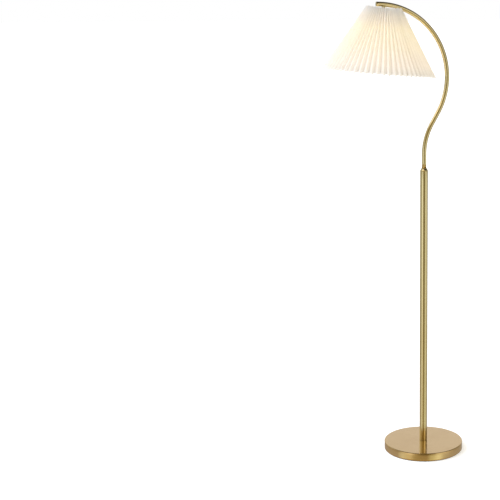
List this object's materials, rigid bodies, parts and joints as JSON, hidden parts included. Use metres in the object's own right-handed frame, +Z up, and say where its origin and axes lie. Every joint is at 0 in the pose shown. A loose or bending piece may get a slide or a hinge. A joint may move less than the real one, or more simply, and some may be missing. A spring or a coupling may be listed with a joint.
{
  "type": "arc floor lamp",
  "caption": "Floor lamp with a round weighted foot, a straight post, an S-bent arm that swivels on the post, and a tilted pleated cone shade under the arm's tip.",
  "frame": {"origin": "centre of the foot's underside, where the pad rests on the floor", "axes": "+Z up along the post, -X the way the arm reaches over at rest, +Y the rear, where the cable gland is"},
  "size_m": [0.5099, 0.4, 1.6313],
  "materials": {
    "brass": "brushed brass plating, lacquered",
    "satin_brass": "satin brass plating on a pressed steel cover",
    "raw_brass": "plain turned brass",
    "steel": "zinc plated",
    "white_wire": "white powder coat on steel wire",
    "cement": "cast cement",
    "foot_pad": "black foam rubber",
    "black_plastic": "moulded, matt",
    "white_plastic": "moulded, satin",
    "ceramic": "pressed steatite",
    "cable_sheath": "flexible two-core cable",
    "core_brown": "core insulation",
    "core_blue": "core insulation",
    "pleated_fabric": "pleated off-white woven fabric, lets light through",
    "opal_glass": "opal white glass"
  },
  "bodies": {
    "foot_and_post": {"base_pad": "foot_pad", "base_weight": "cement", "base_cover": "satin_brass", "base_tie_rod": "steel", "base_washer": "steel", "base_nut": "steel", "cable_gland": "black_plastic", "post_foot_plug": "steel", "post_tube": "brass", "post_collar": "brass", "swivel_bush": "raw_brass", "stop_pin": "steel", "post_cable": "cable_sheath"},
    "arm_and_shade": {"arm_tube": "brass", "arm_foot_insert": "steel", "swivel_nipple": "steel", "stop_washer": "steel", "spring_washer": "steel", "swivel_lock_nut": "steel", "arm_end_cap": "brass", "arm_cable": "cable_sheath", "cable_core_1": "core_brown", "cable_core_2": "core_blue", "head_block": "raw_brass", "head_nipple": "steel", "head_saddle": "brass", "head_nut": "steel", "holder_cap": "brass", "holder_insulator": "ceramic", "holder_terminal_1": "raw_brass", "holder_terminal_2": "raw_brass", "holder_body": "white_plastic", "holder_screw_shell": "raw_brass", "holder_contact": "raw_brass", "shade_ring_nut": "white_plastic", "bulb_contact": "raw_brass", "bulb_insulator": "black_plastic", "bulb_cap": "steel", "bulb_glass": "opal_glass", "shade_fitter_ring": "white_wire", "shade_top_ring": "white_wire", "shade_bottom_ring": "white_wire", "shade_spoke_1": "white_wire", "shade_spoke_2": "white_wire", "shade_spoke_3": "white_wire", "shade_rib_1": "white_wire", "shade_rib_2": "white_wire", "shade_rib_3": "white_wire", "shade_fabric": "pleated_fabric"}
  },
  "joints": [
    {"name": "arm_swivel", "type": "hinge", "parent": "foot_and_post", "child": "arm_and_shade", "pos_m": [0, 0, 1.052], "axis": [0, 0, 1], "range_deg": [-160, 160]}
  ]
}
